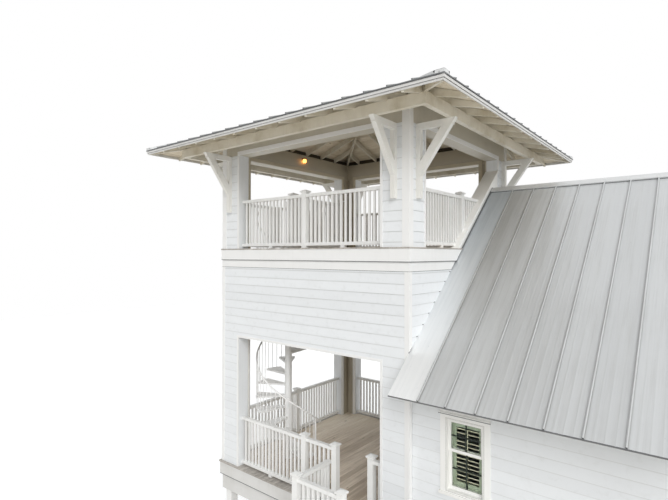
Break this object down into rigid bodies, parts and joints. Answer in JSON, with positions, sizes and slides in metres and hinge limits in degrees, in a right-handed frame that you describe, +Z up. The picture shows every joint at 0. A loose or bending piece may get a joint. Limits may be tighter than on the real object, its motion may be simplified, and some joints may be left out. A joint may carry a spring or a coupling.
{
  "type": "lookout tower",
  "caption": "Square timber lookout tower with a hip roof on brackets, a spiral stair in an open porch, and the metal-roofed end of a house beside it.",
  "frame": {"origin": "centre of the building's footprint at ground level", "axes": "+X from the tower towards the house wing, +Y from the front with the landing to the back, +Z up"},
  "size_m": [10.128, 9.302, 11.5596],
  "materials": {
    "white_siding": "painted lap siding and boards, matt",
    "white_trim": "painted smooth boards, satin",
    "deck_timber": "weathered boards, dry",
    "ceiling_timber": "stained boards, matt",
    "roof_metal": "pale galvanised sheet, soft sheen",
    "white_steel": "painted steel, satin",
    "glass": "clear window glass",
    "shutter_paint": "painted slats, satin",
    "lamp_amber": "amber lamp glass in a dark holder"
  },
  "bodies": {
    "root": {"ground_posts": "white_trim", "deck_frame": "white_trim", "porch_deck": "deck_timber", "porch_piers": "white_siding", "front_wall": "white_siding", "left_wall": "white_siding", "back_wall": "white_siding", "right_wall": "white_siding", "trim_boards": "white_trim", "floor_band": "white_trim", "lookout_floor": "deck_timber", "lookout_joists": "white_trim", "lookout_piers": "white_siding", "header_beams": "white_siding", "eave_beam": "white_trim", "brackets": "white_trim", "rafters": "white_trim", "roof_boards": "ceiling_timber", "roof_fascia": "white_trim", "tower_roof": "roof_metal", "lookout_rail_front": "white_trim", "lookout_rail_left": "white_trim", "lookout_rail_back": "white_trim", "lookout_rail_right": "white_trim", "stairwell_rail": "white_trim", "porch_rail_front": "white_trim", "porch_rail_left": "white_trim", "porch_rail_back": "white_trim", "spiral_column": "white_steel", "spiral_treads": "white_steel", "spiral_balusters": "white_steel", "spiral_handrail": "white_steel", "landing_deck": "deck_timber", "stair_stringers": "white_trim", "stair_treads": "deck_timber", "stair_rail": "white_trim", "wing_side_walls": "white_siding", "wing_end_walls": "white_siding", "wing_floors": "deck_timber", "wing_roof": "roof_metal", "cheek_wall": "white_siding", "window_frames": "white_trim", "window_glass": "glass", "window_shutters": "shutter_paint", "wall_lamp": "lamp_amber"}
  },
  "joints": []
}
